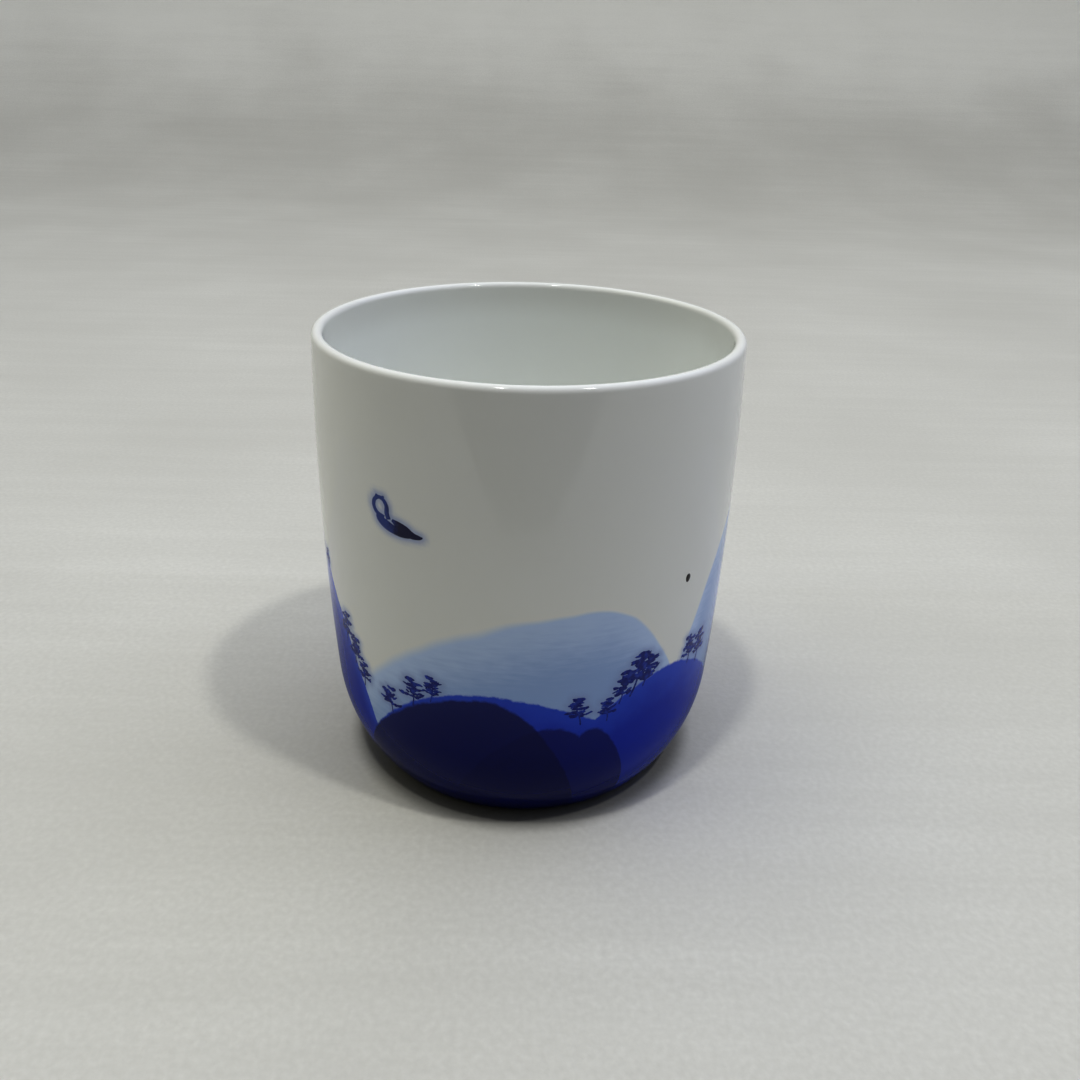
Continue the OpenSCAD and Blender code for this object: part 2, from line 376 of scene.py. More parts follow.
def landscape(tree):
    """White porcelain with a pale far range, cobalt hills and darker mounds, all brushed by hand."""
    where = node(tree, "ShaderNodeTexCoord", (0, 0)).outputs["Object"]
    apart = node(tree, "ShaderNodeSeparateXYZ", (1, 0), {0: where}).outputs
    back = maths(tree, (2, 1), "MULTIPLY", apart[1], -1.0)
    angle = maths(tree, (3, 0), "DEGREES", maths(tree, (3, 1), "ARCTAN2", apart[0], back))
    height = maths(tree, (3, 2), "MULTIPLY", apart[2], 1 / MM)
    along = maths(tree, (4, 1), "MULTIPLY", angle, 0.1)
    up = maths(tree, (4, 2), "MULTIPLY", height, 0.9)
    around = node(tree, "ShaderNodeCombineXYZ", (4, 0), {0: along, 1: up}).outputs[0]
    sway = noise(tree, (2, 4), where, 110.0, 1.0)
    brush = noise(tree, (2, 5), where, 800.0, 3.0, 0.65)
    streak = noise(tree, (5, 0), around, 1.6, 4.0)
    pool = noise(tree, (5, 1), where, 210.0, 2.0)
    soft = waved(tree, (5, 2), height, sway, 1.6)
    rough = waved(tree, (5, 3), soft, brush, 0.9)
    far = deepest(tree, (7, 6), angle, soft, FAR_HILLS)
    near = deepest(tree, (7, 11), angle, rough, NEAR_HILLS)
    deep = deepest(tree, (7, 18), angle, rough, DEEP_MOUNDS)
    dark = deepest(tree, (7, 21), angle, rough, DARK_MOUNDS)
    soften = ramp(tree, (8, 5), angle, -25.0, 20.0, 1.5, 0.4)
    harden = maths(tree, (8, 4), "MULTIPLY", soften, -1.0)
    far_mask = ramp(tree, (9, 6), far, harden, soften)
    fade = waved(tree, (8, 8), far, streak, 9.0)
    fade = maths(tree, (9, 9), "ADD", fade, ramp(tree, (8, 9), angle, 48.0, 60.0, 0.0, 5.0))
    wash = mixed(tree, (10, 6), ramp(tree, (9, 7), fade, 0.0, 13.0), WASH_PALE, WASH_BLUE)
    near_mask = ramp(tree, (9, 11), near, -0.25, 0.35)
    load = waved(tree, (8, 13), near, pool, 6.0)
    near_tone = mixed(tree, (10, 11), ramp(tree, (9, 12), load, -1.0, 9.0), COBALT_LIGHT, COBALT_BLUE)
    deep_mask = ramp(tree, (9, 18), deep, -0.35, 0.5, 0.0, 0.92)
    dark_mask = ramp(tree, (9, 21), dark, -0.35, 0.5, 0.0, 0.94)
    colour = mixed(tree, (11, 5), far_mask, PORCELAIN_WHITE, wash)
    stain = node(tree, "ShaderNodeAttribute", (10, 3), {}, attribute_name="stain").outputs["Fac"]
    colour = mixed(tree, (11, 4), maths(tree, (11, 3), "MULTIPLY", stain, STAIN_STRENGTH), colour, STAIN_BLUE)
    colour = mixed(tree, (12, 5), near_mask, colour, near_tone)
    colour = mixed(tree, (12, 6), deep_mask, colour, COBALT_DEEP)
    return mixed(tree, (13, 5), dark_mask, colour, COBALT_DARK)


glaze_finish = glazed("painted_porcelain_glaze", landscape)
skin = outside.side(glaze_top, glaze_stop) + outside.side(glaze_top, glaze_stop, -glaze_t)[::-1]
outer_wall = thrown("painted_outer_wall", skin, glaze_finish)
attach(outer_wall, "root")
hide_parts("outer_glaze", "far_hills", "near_hills", "foreground_hills")

# ---------------------------------------------------------------------------------------------
# Pine trees
# Small pines along the ridges, dabbed with the tip of a brush in strong cobalt: a thin trunk and
# layers of short flat dabs. They lie in the outer glaze, so they are almost flush with the wall.

UNROLLED_R = 33.0          # mm of wall for one radian, where the painting is laid out flat


def laid_on_wall():
    """Node group that bends a flat painting, x along the wall and z up, on to the outer wall."""
    tree = bpy.data.node_groups.new("laid on the wall", "GeometryNodeTree")
    socket(tree, "Strokes", "NodeSocketGeometry")
    socket(tree, "Wall", "NodeSocketObject")
    socket(tree, "Strokes", "NodeSocketGeometry", out=True)
    given = node(tree, "NodeGroupInput", (0, 0)).outputs
    wall = node(tree, "GeometryNodeObjectInfo", (1, 2), {"Object": given["Wall"]}, transform_space="RELATIVE")
    flat = node(tree, "ShaderNodeSeparateXYZ", (1, 0), {
        0: node(tree, "GeometryNodeInputPosition", (0, 1)).outputs[0]}).outputs
    turn = maths(tree, (2, 0), "DIVIDE", flat[0], UNROLLED_R * MM)
    out = node(tree, "ShaderNodeCombineXYZ", (4, 0), {
        0: maths(tree, (3, 0), "SINE", turn),
        1: maths(tree, (3, 1), "MULTIPLY", maths(tree, (2, 1), "COSINE", turn), -1.0)}).outputs[0]
    far = node(tree, "ShaderNodeVectorMath", (5, 0), {0: out, 3: 0.06}, operation="SCALE").outputs[0]
    lift = node(tree, "ShaderNodeCombineXYZ", (5, 1), {2: flat[2]}).outputs[0]
    start = node(tree, "ShaderNodeVectorMath", (6, 0), {0: far, 1: lift}, operation="ADD").outputs[0]
    inward = node(tree, "ShaderNodeVectorMath", (6, 1), {0: out, 3: -1.0}, operation="SCALE").outputs[0]
    hit = node(tree, "GeometryNodeRaycast", (7, 0), {
        "Target Geometry": wall.outputs["Geometry"], "Source Position": start, "Ray Direction": inward,
        "Ray Length": 0.1})
    proud = maths(tree, (7, 2), "MULTIPLY", flat[1], -1.0)
    off = node(tree, "ShaderNodeVectorMath", (8, 1), {0: out}, operation="SCALE")
    link(tree, proud, off.inputs["Scale"])
    place = node(tree, "ShaderNodeVectorMath", (9, 0), {0: hit.outputs["Hit Position"], 1: off.outputs[0]},
                 operation="ADD").outputs[0]
    moved = node(tree, "GeometryNodeSetPosition", (10, 0), {"Geometry": given["Strokes"], "Position": place})
    node(tree, "NodeGroupOutput", (11, 0), {0: moved.outputs[0]})
    return tree


on_wall = laid_on_wall()


def carried(tree, place, name):
    """A number that each point carries under a name."""
    return node(tree, "GeometryNodeInputNamedAttribute", place, {"Name": name}, data_type="FLOAT").outputs[0]


def number_at(tree, place, low, high, seed):
    """A random number for each point, between two values."""
    made = node(tree, "FunctionNodeRandomValue", place, data_type="FLOAT")
    made.inputs[2].default_value, made.inputs[3].default_value = low, high
    made.inputs["Seed"].default_value = seed
    return made.outputs[1]


def pine_grove():
    """Geometry nodes that dab one pine at each point: attributes tall (metres) and lean."""
    tree = bpy.data.node_groups.new("pine grove", "GeometryNodeTree")
    socket(tree, "Roots", "NodeSocketGeometry")
    socket(tree, "Wall", "NodeSocketObject")
    socket(tree, "Layers", "NodeSocketInt", 6)
    socket(tree, "Dabs", "NodeSocketInt", 11)
    socket(tree, "Trunk Dabs", "NodeSocketInt", 12)
    socket(tree, "Finish", "NodeSocketMaterial")
    socket(tree, "Pines", "NodeSocketGeometry", out=True)
    given = node(tree, "NodeGroupInput", (0, 0)).outputs
    roots = node(tree, "GeometryNodeMeshToPoints", (1, 0), {"Mesh": given["Roots"]})
    side = number_at(tree, (1, 3), -1.0, 1.0, 3)
    marked = node(tree, "GeometryNodeStoreNamedAttribute", (2, 0), {
        "Geometry": roots.outputs[0], "Name": "side", "Value": side}, data_type="FLOAT", domain="POINT")
    needles = maths(tree, (2, 2), "MULTIPLY", given["Layers"], given["Dabs"])
    amount = maths(tree, (3, 2), "ADD", needles, given["Trunk Dabs"])
    copies = node(tree, "GeometryNodeDuplicateElements", (4, 0), {
        "Geometry": marked.outputs[0], "Amount": amount}, domain="POINT")
    index = copies.outputs["Duplicate Index"]
    tall = carried(tree, (4, 3), "tall")
    lean = carried(tree, (4, 4), "lean")
    side = carried(tree, (4, 5), "side")
    is_trunk = maths(tree, (5, 1), "GREATER_THAN", index, maths(tree, (4, 1), "SUBTRACT", needles, 0.5))
    layer = maths(tree, (5, 2), "FLOOR", maths(tree, (5, 3), "DIVIDE", index, given["Dabs"]))
    level = maths(tree, (6, 2), "DIVIDE", layer, maths(tree, (6, 3), "SUBTRACT", given["Layers"], 1.0))
    up = maths(tree, (7, 2), "MULTIPLY_ADD", level, 0.66, 0.32)
    up = maths(tree, (8, 2), "ADD", up, number_at(tree, (7, 3), -0.045, 0.045, 11))
    reach = maths(tree, (7, 4), "MULTIPLY_ADD", level, -0.22, 0.33)
    sway = maths(tree, (7, 5), "MULTIPLY", maths(tree, (6, 5), "SINE", maths(
        tree, (6, 6), "MULTIPLY_ADD", layer, 2.4, maths(tree, (5, 6), "MULTIPLY", side, 3.0))), 0.12)
    across = maths(tree, (8, 4), "MULTIPLY_ADD", number_at(tree, (7, 6), -1.0, 1.0, 12), reach, sway)
    along = maths(tree, (5, 7), "SUBTRACT", index, needles)
    along = maths(tree, (5, 8), "DIVIDE", along, given["Trunk Dabs"])
    trunk_up = maths(tree, (6, 8), "MULTIPLY_ADD", along, 1.0, -0.06)
    trunk_across = maths(tree, (7, 8), "MULTIPLY", maths(tree, (6, 9), "SINE", maths(
        tree, (6, 10), "MULTIPLY_ADD", along, 5.0, side)), 0.035)
    up = between(tree, (9, 2), is_trunk, up, trunk_up)
    across = between(tree, (9, 4), is_trunk, across, trunk_across)
    across = maths(tree, (10, 4), "MULTIPLY_ADD", up, maths(tree, (9, 5), "TANGENT", lean), across)
    shift = node(tree, "ShaderNodeCombineXYZ", (11, 2), {
        0: maths(tree, (10, 5), "MULTIPLY", across, tall), 2: maths(tree, (10, 2), "MULTIPLY", up, tall)})
    spread = node(tree, "GeometryNodeSetPosition", (12, 0), {
        "Geometry": copies.outputs[0], "Offset": shift.outputs[0]})
    dab = node(tree, "GeometryNodeMeshUVSphere", (11, 5), {"Segments": 8, "Rings": 4, "Radius": 1.0})
    wide = between(tree, (11, 6), is_trunk, number_at(tree, (10, 6), 0.07, 0.145, 13), 0.028)
    high = between(tree, (11, 7), is_trunk, number_at(tree, (10, 7), 0.032, 0.062, 14), 0.075)
    size = node(tree, "ShaderNodeCombineXYZ", (12, 6), {
        0: maths(tree, (12, 7), "MULTIPLY", wide, tall), 1: 0.035 * MM,
        2: maths(tree, (12, 8), "MULTIPLY", high, tall)})
    tilt = maths(tree, (12, 9), "SUBTRACT", number_at(tree, (11, 9), -0.5, 0.5, 15),
                 maths(tree, (11, 10), "MULTIPLY", across, 0.8))
    tilt = between(tree, (13, 9), is_trunk, tilt, lean)
    dabs = node(tree, "GeometryNodeInstanceOnPoints", (14, 0), {
        "Points": spread.outputs[0], "Instance": dab.outputs["Mesh"], "Scale": size.outputs[0],
        "Rotation": node(tree, "ShaderNodeCombineXYZ", (13, 8), {1: tilt}).outputs[0]})
    whole = node(tree, "GeometryNodeRealizeInstances", (15, 0), {0: dabs.outputs[0]})
    bent = node(tree, "GeometryNodeGroup", (16, 0), {}, node_tree=on_wall)
    link(tree, whole.outputs[0], bent.inputs["Strokes"])
    link(tree, given["Wall"], bent.inputs["Wall"])
    smooth = node(tree, "GeometryNodeSetShadeSmooth", (17, 0), {"Geometry": bent.outputs[0]})
    painted = node(tree, "GeometryNodeSetMaterial", (18, 0), {
        "Geometry": smooth.outputs[0], "Material": given["Finish"]})
    node(tree, "NodeGroupOutput", (19, 0), {0: painted.outputs[0]})
    return tree


def brushed(deep, pale):
    """A stroke's colour in a material's tree: strong cobalt with paler places."""
    def colour_of(tree):
        where = node(tree, "ShaderNodeTexCoord", (9, 0)).outputs["Object"]
        load = noise(tree, (10, 0), where, 1100.0, 2.0)
        return mixed(tree, (12, 0), ramp(tree, (11, 0), load, 0.4, 0.75), deep, pale)
    return colour_of


# Pines: angle, height of the root, height of the tree, lean, in degrees and mm
PINES = ((-69, 41.5, 3.4, 4), (-57.5, 30.4, 5.4, 6), (-53.5, 27, 5, 8), (-49.5, 23.6, 4.4, 6),
         (-38, 21.5, 4.6, -4), (-30, 25, 5, 0), (-24.3, 27, 4.4, 6), (15.3, 24.3, 4.8, -8), (23, 24, 4, 0),
         (26.5, 27, 4.8, 10), (30, 28.2, 7.2, 14), (34, 29.3, 5.4, 10), (52, 29, 5, 0), (57, 27.8, 5.6, 6),
         (104, 32, 5, -6), (109, 32.4, 6, 4), (163, 27.2, 5, 0), (-128, 33, 5.5, 6), (-141, 32.8, 5, -4))
pine_roots = bpy.data.meshes.new("pine_roots")
pine_roots.from_pydata([(math.radians(a) * UNROLLED_R * MM, 0, z * MM) for a, z, _, _ in PINES], [], [])
for key, values in (("tall", [p[2] * MM for p in PINES]), ("lean", [math.radians(p[3]) for p in PINES])):
    pine_roots.attributes.new(key, "FLOAT", "POINT").data.foreach_set("value", values)
pine_finish = glazed("pine_cobalt", brushed((0.006, 0.015, 0.19), (0.022, 0.06, 0.42)))
pines = grown(pine_roots, pine_grove(), "painted_pines", Wall=outer_wall, Layers=6, Dabs=11,
              Finish=pine_finish, **{"Trunk Dabs": 12})
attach(pines, "root")
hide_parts("pine_trees")

# ---------------------------------------------------------------------------------------------
# Bird
# A small bird above the hills in three free strokes: an open loop for the raised head and neck, a
# full body and a long tail that thins out. Painted like the pines.


def brush_strokes():
    """Geometry nodes that draw each line of points as a flat stroke, with attribute width (metres)."""
    tree = bpy.data.node_groups.new("brush strokes", "GeometryNodeTree")
    socket(tree, "Lines", "NodeSocketGeometry")
    socket(tree, "Wall", "NodeSocketObject")
    socket(tree, "Steps", "NodeSocketInt", 36)
    socket(tree, "Sides", "NodeSocketInt", 12)
    socket(tree, "Rag", "NodeSocketFloat", 0.00012)
    socket(tree, "Flatness", "NodeSocketFloat", 0.05)
    socket(tree, "Finish", "NodeSocketMaterial")
    socket(tree, "Strokes", "NodeSocketGeometry", out=True)
    given = node(tree, "NodeGroupInput", (0, 0)).outputs
    lines = node(tree, "GeometryNodeMeshToCurve", (1, 0), {"Mesh": given["Lines"]})
    eased = node(tree, "GeometryNodeCurveSplineType", (2, 0), {"Curve": lines.outputs[0]},
                 spline_type="CATMULL_ROM")
    fine = node(tree, "GeometryNodeResampleCurve", (3, 0), {
        "Curve": eased.outputs[0], "Count": given["Steps"]})
    width = carried(tree, (2, 2), "width")
    place = node(tree, "GeometryNodeInputPosition", (1, 3)).outputs[0]
    rag = maths(tree, (3, 3), "SUBTRACT", noise(tree, (2, 3), place, 2200.0, 2.0), 0.5)
    width = maths(tree, (3, 2), "MULTIPLY_ADD", rag, given["Rag"], width)
    ring = node(tree, "GeometryNodeCurvePrimitiveCircle", (4, 2), {
        "Resolution": given["Sides"], "Radius": 1.0}, mode="RADIUS")
    tube = node(tree, "GeometryNodeCurveToMesh", (5, 0), {
        "Curve": fine.outputs[0], "Profile Curve": ring.outputs[0], "Scale": width, "Fill Caps": True})
    press = node(tree, "ShaderNodeCombineXYZ", (5, 2), {0: 1.0, 1: given["Flatness"], 2: 1.0})
    flat = node(tree, "ShaderNodeVectorMath", (6, 2), {0: place, 1: press.outputs[0]}, operation="MULTIPLY")
    pressed = node(tree, "GeometryNodeSetPosition", (6, 0), {
        "Geometry": tube.outputs[0], "Position": flat.outputs[0]})
    bent = node(tree, "GeometryNodeGroup", (7, 0), {}, node_tree=on_wall)
    link(tree, pressed.outputs[0], bent.inputs["Strokes"])
    link(tree, given["Wall"], bent.inputs["Wall"])
    smooth = node(tree, "GeometryNodeSetShadeSmooth", (8, 0), {"Geometry": bent.outputs[0]})
    whole = node(tree, "GeometryNodeRealizeInstances", (9, 0), {0: smooth.outputs[0]})
    painted = node(tree, "GeometryNodeSetMaterial", (10, 0), {
        "Geometry": whole.outputs[0], "Material": given["Finish"]})
    node(tree, "NodeGroupOutput", (11, 0), {0: painted.outputs[0]})
    return tree


stroke_tree = brush_strokes()


def brushwork(name, strokes, finish, **inputs):
    """Strokes on the wall, each a list of (mm along the wall, mm up, half width)."""
    points = [p for stroke in strokes for p in stroke]
    edges, first = [], 0
    for stroke in strokes:
        edges += [(first + i, first + i + 1) for i in range(len(stroke) - 1)]
        first += len(stroke)
    lines = bpy.data.meshes.new(name + "_lines")
    lines.from_pydata([(x * MM, 0, z * MM) for x, z, _ in points], edges, [])
    widths = [w * MM for _, _, w in points]
    lines.attributes.new("width", "FLOAT", "POINT").data.foreach_set("value", widths)
    return grown(lines, stroke_tree, name, Wall=outer_wall, Finish=finish, **inputs)


BIRD = (
    ((-20.6, 58.7, 0.38), (-21.9, 59.2, 0.36), (-22.5, 60.2, 0.34), (-22.3, 61.3, 0.34), (-21.5, 61.9, 0.32),
     (-20.6, 61.6, 0.34), (-20.1, 60.7, 0.38), (-20.1, 59.6, 0.42), (-19.8, 58.6, 0.4)),
    ((-22.0, 61.8, 0.24), (-21.9, 62.1, 0.24), (-21.9, 62.3, 0.16)),
    ((-20.9, 61.8, 0.24), (-20.7, 62.1, 0.24), (-20.7, 62.3, 0.16)),
    ((-21.9, 58.9, 0.34), (-21.3, 58.2, 0.66), (-20.2, 57.6, 0.82), (-18.9, 57.1, 0.74), (-17.4, 56.7, 0.5),
     (-16.2, 56.6, 0.2)),
    ((-19.2, 58.7, 0.24), (-18.3, 58.2, 0.6), (-17.1, 57.6, 0.78), (-15.9, 57.0, 0.62), (-14.8, 56.9, 0.36),
     (-14.2, 57.0, 0.12)),
)


def bird_blue(tree):
    """Mid blue on the head and breast, going over to nearly black on the tail."""
    where = node(tree, "ShaderNodeTexCoord", (8, 0)).outputs["Object"]
    across = node(tree, "ShaderNodeSeparateXYZ", (9, 0), {0: where}).outputs[0]
    place = maths(tree, (10, 0), "MULTIPLY_ADD", noise(tree, (9, 1), where, 900.0, 2.0), 3.0 * MM, across)
    return mixed(tree, (12, 0), ramp(tree, (11, 0), place, -20.0 * MM, -18.2 * MM), (0.03, 0.06, 0.27),
                 (0.004, 0.004, 0.05))


bird_finish = glazed("bird_cobalt", bird_blue)
bird = brushwork("painted_bird", BIRD, bird_finish, Steps=40, Sides=12, Rag=0.12 * MM, Flatness=0.05)
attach(bird, "root")
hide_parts("bird_mark")

# While the glaze melts, the cobalt of each stroke bleeds into the wall round it
ink = [v.co for piece in (pines, bird) for v in piece.data.vertices]
nearest = KDTree(len(ink))
for i, co in enumerate(ink):
    nearest.insert(co, i)
nearest.balance()
bleed_r = 0.75 * MM
bleed = [math.exp(-(nearest.find(v.co)[2] / bleed_r) ** 2) for v in outer_wall.data.vertices]
outer_wall.data.attributes.new("stain", "FLOAT", "POINT").data.foreach_set("value", bleed)

# ---------------------------------------------------------------------------------------------
# Iron speck
# A grain of iron in the clay or the kiln that melted into the glaze: a tiny dark brown bead.

SPECK = (((26.6, 47.6, 0.22), (26.65, 47.3, 0.46), (26.7, 46.9, 0.52), (26.65, 46.45, 0.42),
          (26.55, 46.15, 0.18)),)
speck_finish = glazed("iron_speck_glaze", brushed((0.006, 0.006, 0.006), (0.05, 0.035, 0.025)))
speck = brushwork("iron_speck_bead", SPECK, speck_finish, Steps=16, Sides=16, Rag=0.06 * MM, Flatness=0.18)
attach(speck, "root")
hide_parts("iron_speck")

# ---------------------------------------------------------------------------------------------
# Bowl and lip
# The glaze skin of the inside, poured in before the cup is dipped. It runs from the floor of the
# bowl up the inner wall and over the rounded lip, where it meets the outer glaze.

floor_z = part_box("inner_glaze")[0].z / MM + glaze_t
bowl_long, bowl_heel, bowl_widest_z = 620.0, 14.0, 68.0
bowl_turn = math.asin((bowl_widest_z - floor_z - bowl_heel) / (bowl_long - bowl_heel))
bowl_lip_r = outside.radius(lip_z) - lip_t
bowl_widest = bowl_lip_r + bowl_long - math.sqrt(bowl_long ** 2 - (lip_z - bowl_widest_z) ** 2)
bowl = Wall(bowl_widest, bowl_widest_z, bowl_long, bowl_heel, bowl_turn)


def lip_line(depth, steps):
    """The rounded lip, from the outer wall over to the bowl, with depth taken off its surface."""
    out, back = outside.radius(lip_z, -depth), bowl.radius(lip_z, depth)
    return arc((out + back) / 2, lip_z, (out - back) / 2, 0, 180, steps)


def bowl_line(depth):
    """The bowl from under the lip down to the middle of its floor."""
    low = floor_z - depth
    return bowl.side(lip_z - 0.3, low, depth) + [(12.0, low), (6.0, low), (0.0, low)]


# Painted light: the bowl is a lighter white than the lip and the outer wall, so the inside reads brighter
BOWL_WHITE_WITH_PAINTED_LIGHT = (0.90, 0.92, 0.885)


def bowl_white_with_painted_light(tree):
    """White glaze, a little lighter in the bowl than on the lip: painted light that brightens the inside."""
    where = node(tree, "ShaderNodeTexCoord", (9, 0)).outputs["Object"]
    height = node(tree, "ShaderNodeSeparateXYZ", (10, 0), {0: where}).outputs[2]
    return mixed(tree, (12, 0), ramp(tree, (11, 0), height, 0.074, 0.0805), BOWL_WHITE_WITH_PAINTED_LIGHT, PORCELAIN_WHITE)


bowl_finish = glazed("bowl_glaze", bowl_white_with_painted_light)
inside_skin = ([(outside.radius(glaze_top), glaze_top)] + lip_line(0, 16) + bowl_line(0)
               + bowl_line(glaze_t)[::-1] + lip_line(glaze_t, 8)[::-1]
               + [(outside.radius(glaze_top, -glaze_t), glaze_top)])
bowl_piece = thrown("bowl_and_lip", inside_skin, bowl_finish)
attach(bowl_piece, "root")
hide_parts("inner_glaze")

# ---------------------------------------------------------------------------------------------
# Porcelain body
# The wall and floor of white clay, thrown on the wheel and turned when leather-hard. The glazes
# cover it on both sides, so it shows nowhere on the finished cup.


def bare_clay(name, colour, rough):
    """Fired porcelain without glaze: matt, a little gritty and slightly warm."""
    finish, tree, shader = new_finish(name, 6)
    where = node(tree, "ShaderNodeTexCoord", (0, 0)).outputs["Object"]
    grit = noise(tree, (1, 1), where, 2600.0, 4.0)
    stained = ramp(tree, (2, 0), noise(tree, (1, 0), where, 160.0, 3.0), 0.42, 0.7)
    dark = tuple(0.82 * c for c in colour)
    link(tree, mixed(tree, (3, 0), stained, colour, dark), shader.inputs["Base Color"])
    link(tree, maths(tree, (3, 2), "MULTIPLY_ADD", grit, 0.2, rough), shader.inputs["Roughness"])
    bump = node(tree, "ShaderNodeBump", (5, 2), {"Height": grit, "Strength": 0.35, "Distance": 0.05 * MM})
    link(tree, bump.outputs[0], shader.inputs["Normal"])
    return finish


body_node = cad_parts["porcelain_body"]
body_finish = bare_clay("porcelain_clay", (0.78, 0.78, 0.75), 0.5)
body_node.data.materials.clear()
body_node.data.materials.append(body_finish)

# ---------------------------------------------------------------------------------------------
# Foot ring
# The low ring that the cup stands on, turned in one with the body. Its resting edge is wiped
# clean of glaze before the firing, so that the cup doesn't stick to the kiln shelf.

foot_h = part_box("foot_ring")[1].z / MM
foot_well_r = 25.2
bare_r = outside.radius(glaze_stop, -glaze_t)
edge_round = 0.8
heel_side = outside.side(glaze_top, glaze_stop, -glaze_t)
heel_points = [p for p in heel_side if glaze_stop + 0.05 < p[1] < foot_h]
ring_profile = ([(outside.radius(foot_h, -glaze_t), foot_h)] + heel_points
                + arc(bare_r - edge_round, edge_round, edge_round, 0, -90, 8)
                + arc(foot_well_r + edge_round, edge_round, edge_round, -90, -180, 8)
                + [(foot_well_r, foot_h)])
foot_finish = bare_clay("bare_foot_clay", (0.66, 0.62, 0.56), 0.6)
foot_piece = thrown("foot_ring_turned", ring_profile, foot_finish)
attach(foot_piece, "root")
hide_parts("foot_ring")

# ---------------------------------------------------------------------------------------------
# Glaze in the foot well
# A pool of clear glaze on the underside, inside the foot ring, with a rounded edge where it was
# wiped back from the ring.

well_glaze_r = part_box("well_glaze")[1].x / MM
well_profile = ([(0.0, foot_h), (0.0, foot_h - glaze_t), (8.0, foot_h - glaze_t), (16.0, foot_h - glaze_t)]
                + arc(well_glaze_r - glaze_t, foot_h, glaze_t, -90, 0, 6))
well_piece = thrown("foot_well_glaze", well_profile, bowl_finish)
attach(well_piece, "root")
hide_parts("well_glaze")

# ---------------------------------------------------------------------------------------------
# Floor, light and camera
# A plain pale table that sweeps up behind the cup, two small lamps overhead, soft light from the
# sides of the room, and two cards in front that keep glare off the wall.

SWEEP_BACK, SWEEP_R, SWEEP_UP, SWEEP_SIDE = 0.75, 0.5, 1.2, 2.5
floor_line = [(-3.0, 0.0), (SWEEP_BACK, 0.0)]
floor_line += [(SWEEP_BACK + SWEEP_R * math.sin(a), SWEEP_R * (1 - math.cos(a)))
               for a in [math.radians(6 * i) for i in range(1, 16)]]
floor_line.append((SWEEP_BACK + SWEEP_R, SWEEP_UP))
floor_mesh = bpy.data.meshes.new("table")
floor_mesh.from_pydata(
    [(x, y, z) for y, z in floor_line for x in (-SWEEP_SIDE, SWEEP_SIDE)], [],
    [(2 * i, 2 * i + 1, 2 * i + 3, 2 * i + 2) for i in range(len(floor_line) - 1)])
for face in floor_mesh.polygons:
    face.use_smooth = True
table = placed("table", floor_mesh)
TABLE_DARK, TABLE_PALE = (0.565, 0.56, 0.51), (0.88, 0.88, 0.82)
# Painted shadow: the table is painted darker in a ring round the foot, for the shade under the heel
SHADE_IN, SHADE_OUT = 0.031, 0.0355          # the dark line under the heel, round the foot
table_finish, table_tree, table_shader = new_finish("pale_table", 9)
table_place = node(table_tree, "ShaderNodeTexCoord", (0, 0)).outputs["Object"]
table_cloud = noise(table_tree, (1, 0), table_place, 9.0, 5.0)
table_run = node(table_tree, "ShaderNodeMapping", (1, 1), {"Vector": table_place, "Scale": (6.0, 110.0, 6.0)})
table_streak = noise(table_tree, (2, 1), table_run.outputs[0], 1.0, 6.0, 0.7)
table_grain = noise(table_tree, (1, 2), table_place, 850.0, 4.0)
table_mix = maths(table_tree, (2, 2), "MULTIPLY", table_cloud, 0.6)
table_mix = maths(table_tree, (2, 0), "MULTIPLY_ADD", table_grain, 0.5, table_mix)
table_mix = maths(table_tree, (3, 0), "MULTIPLY_ADD", table_streak, 0.35, table_mix)
table_up = node(table_tree, "ShaderNodeSeparateXYZ", (3, 2), {0: table_place}).outputs[2]
# Painted light: the table gets lighter as it sweeps up behind the cup
table_mix = maths(table_tree, (4, 1), "ADD", table_mix, ramp(table_tree, (4, 2), table_up, 0.02, 0.2))
table_tone = ramp(table_tree, (5, 1), table_mix, 0.4, 1.9)
table_colour = mixed(table_tree, (6, 0), table_tone, TABLE_DARK, TABLE_PALE)
table_flat = node(table_tree, "ShaderNodeVectorMath", (3, 3), {
    0: table_place, 1: (1.0, 1.0, 0.0)}, operation="MULTIPLY")
table_off = node(table_tree, "ShaderNodeVectorMath", (4, 3), {0: table_flat.outputs[0]}, operation="LENGTH")
# Painted shadow: the table's colour is darkened in the ring round the foot
table_shade = node(table_tree, "ShaderNodeVectorMath", (7, 0), {0: table_colour}, operation="SCALE")
link(table_tree, ramp(table_tree, (5, 3), table_off.outputs["Value"], SHADE_IN, SHADE_OUT, 0.4, 1.0),
     table_shade.inputs["Scale"])
link(table_tree, table_shade.outputs[0], table_shader.inputs["Base Color"])
table_shader.inputs["Roughness"].default_value = 0.65
table_bump = node(table_tree, "ShaderNodeBump", (5, 2), {
    "Height": table_grain, "Strength": 0.3, "Distance": 0.2 * MM})
link(table_tree, table_bump.outputs[0], table_shader.inputs["Normal"])
floor_mesh.materials.append(table_finish)


LAMP_AWAY, LAMP_SIZE, LAMP_COLOUR = 2.0, 0.12, (1.0, 0.99, 0.96)


def lamp(name, lean_x, lean_y, power):
    """A small round lamp that shines at the cup; lean is how far it leans from overhead."""
    data = bpy.data.lights.new(name, "AREA")
    data.shape = "DISK"
    data.size = LAMP_SIZE
    data.energy = power
    data.color = LAMP_COLOUR
    made = placed(name, data)
    towards = Vector((lean_x, lean_y, 1.0)).normalized()
    made.location = towards * LAMP_AWAY
    made.rotation_euler = towards.to_track_quat("Z", "Y").to_euler()


lamp("lamp_right", 0.368, -0.260, 7.2)
lamp("lamp_left", -0.162, -0.264, 6.6)

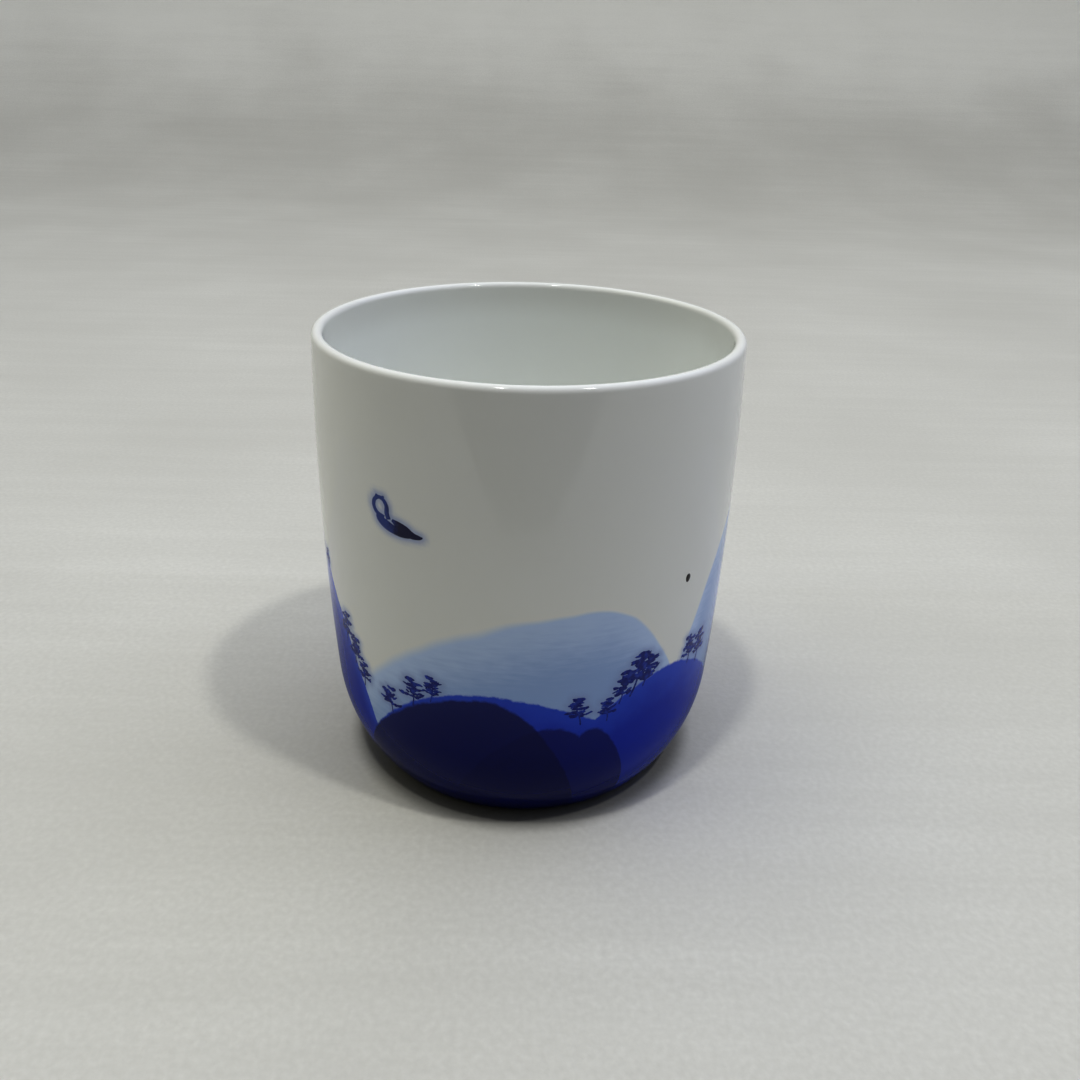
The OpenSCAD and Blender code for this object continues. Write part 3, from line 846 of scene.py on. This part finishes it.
world = bpy.data.worlds.new("room")
bpy.context.scene.world = world
world.use_nodes = True
room = world.node_tree
room_shader = room.nodes["Background"]
direction = node(room, "ShaderNodeTexCoord", (0, 0)).outputs["Generated"]
room_axis = node(room, "ShaderNodeSeparateXYZ", (1, 0), {0: direction}).outputs
overhead = ramp(room, (2, 0), room_axis[2], 0.12, 0.85, 0.05, 1.0)
front_dark = ramp(room, (2, 1), room_axis[1], -0.7, 0.05, 0.06, 1.0)
side_tint = ramp(room, (2, 2), room_axis[0], -0.6, 0.6)
room_colour = mixed(room, (3, 1), side_tint, (1.0, 0.99, 0.88), (0.885, 0.943, 1.24))
room_light = node(room, "ShaderNodeVectorMath", (4, 0), {0: room_colour}, operation="SCALE")
link(room, maths(room, (3, 0), "MULTIPLY", overhead, front_dark), room_light.inputs["Scale"])
seen = node(room, "ShaderNodeLightPath", (4, 2)).outputs["Is Camera Ray"]
link(room, mixed(room, (5, 0), seen, room_light.outputs[0], (0.5, 0.5, 0.46)), room_shader.inputs["Color"])
room_shader.inputs["Strength"].default_value = 1.15


def card(name, corners, faces, near, far):
    """Grey cloth that the camera doesn't see, of one grey near the cup and another farther off."""
    mesh = bpy.data.meshes.new(name)
    mesh.from_pydata(corners, [], faces)
    finish, tree, shader = new_finish(name + "_cloth", 5)
    where = node(tree, "ShaderNodeTexCoord", (0, 0)).outputs["Object"]
    away = node(tree, "ShaderNodeVectorMath", (1, 0), {0: where}, operation="LENGTH").outputs["Value"]
    tone = mixed(tree, (3, 0), ramp(tree, (2, 0), away, 0.042, 0.085), (near, near, near), (far, far, far))
    link(tree, tone, shader.inputs["Base Color"])
    shader.inputs["Roughness"].default_value = 0.9
    mesh.materials.append(finish)
    made = placed(name, mesh)
    made.visible_camera = False
    made.visible_shadow = False
    return made


# A dark flag below the lens, which keeps the table's glare off the front of the wall
card("dark_flag", [(-0.024, -0.13, 0.016), (0.024, -0.13, 0.016), (0.098, -0.135, 0.056), (0.11, -0.14, 0.11),
                   (-0.11, -0.14, 0.11), (-0.098, -0.135, 0.056)], [(0, 1, 2, 5), (5, 2, 3, 4)], 0.03, 0.03)

# Painted reflection: the card stands for the table in the wall's reflections, darker grey near the cup as
# painted shade
# A grey card on the table that only reflections see, so that its glare doesn't grey the deep blue
grey_card = card("grey_card", [(-0.22, -0.22, 0.001), (0.22, -0.22, 0.001), (0.22, 0.06, 0.001),
                               (-0.22, 0.06, 0.001)], [(0, 1, 2, 3)], 0.25, 0.6)
grey_card.visible_diffuse = False

EYE = (0.0, -170.3, 122.8)         # mm from the centre of the foot
LOOK_DOWN, LOOK_RIGHT, ROLL = 25.71, 0.95, 1.63      # degrees
FOCAL = 33.13                      # mm on a 36 mm wide sensor
camera = placed("camera", bpy.data.cameras.new("camera"))
camera.data.lens = FOCAL
camera.data.sensor_width = 36.0
aim = (Matrix.Rotation(math.radians(-LOOK_RIGHT), 3, "Z")
       @ Matrix.Rotation(math.radians(90 - LOOK_DOWN), 3, "X") @ Matrix.Rotation(math.radians(ROLL), 3, "Z"))
camera.matrix_world = Matrix.Translation(Vector(EYE) * MM) @ aim.to_4x4()
camera.data.clip_start = 0.01
bpy.context.scene.camera = camera
bpy.context.scene.view_settings.view_transform = "Standard"
bpy.context.scene.view_settings.gamma = 0.75
bpy.context.scene.view_settings.exposure = 0.25
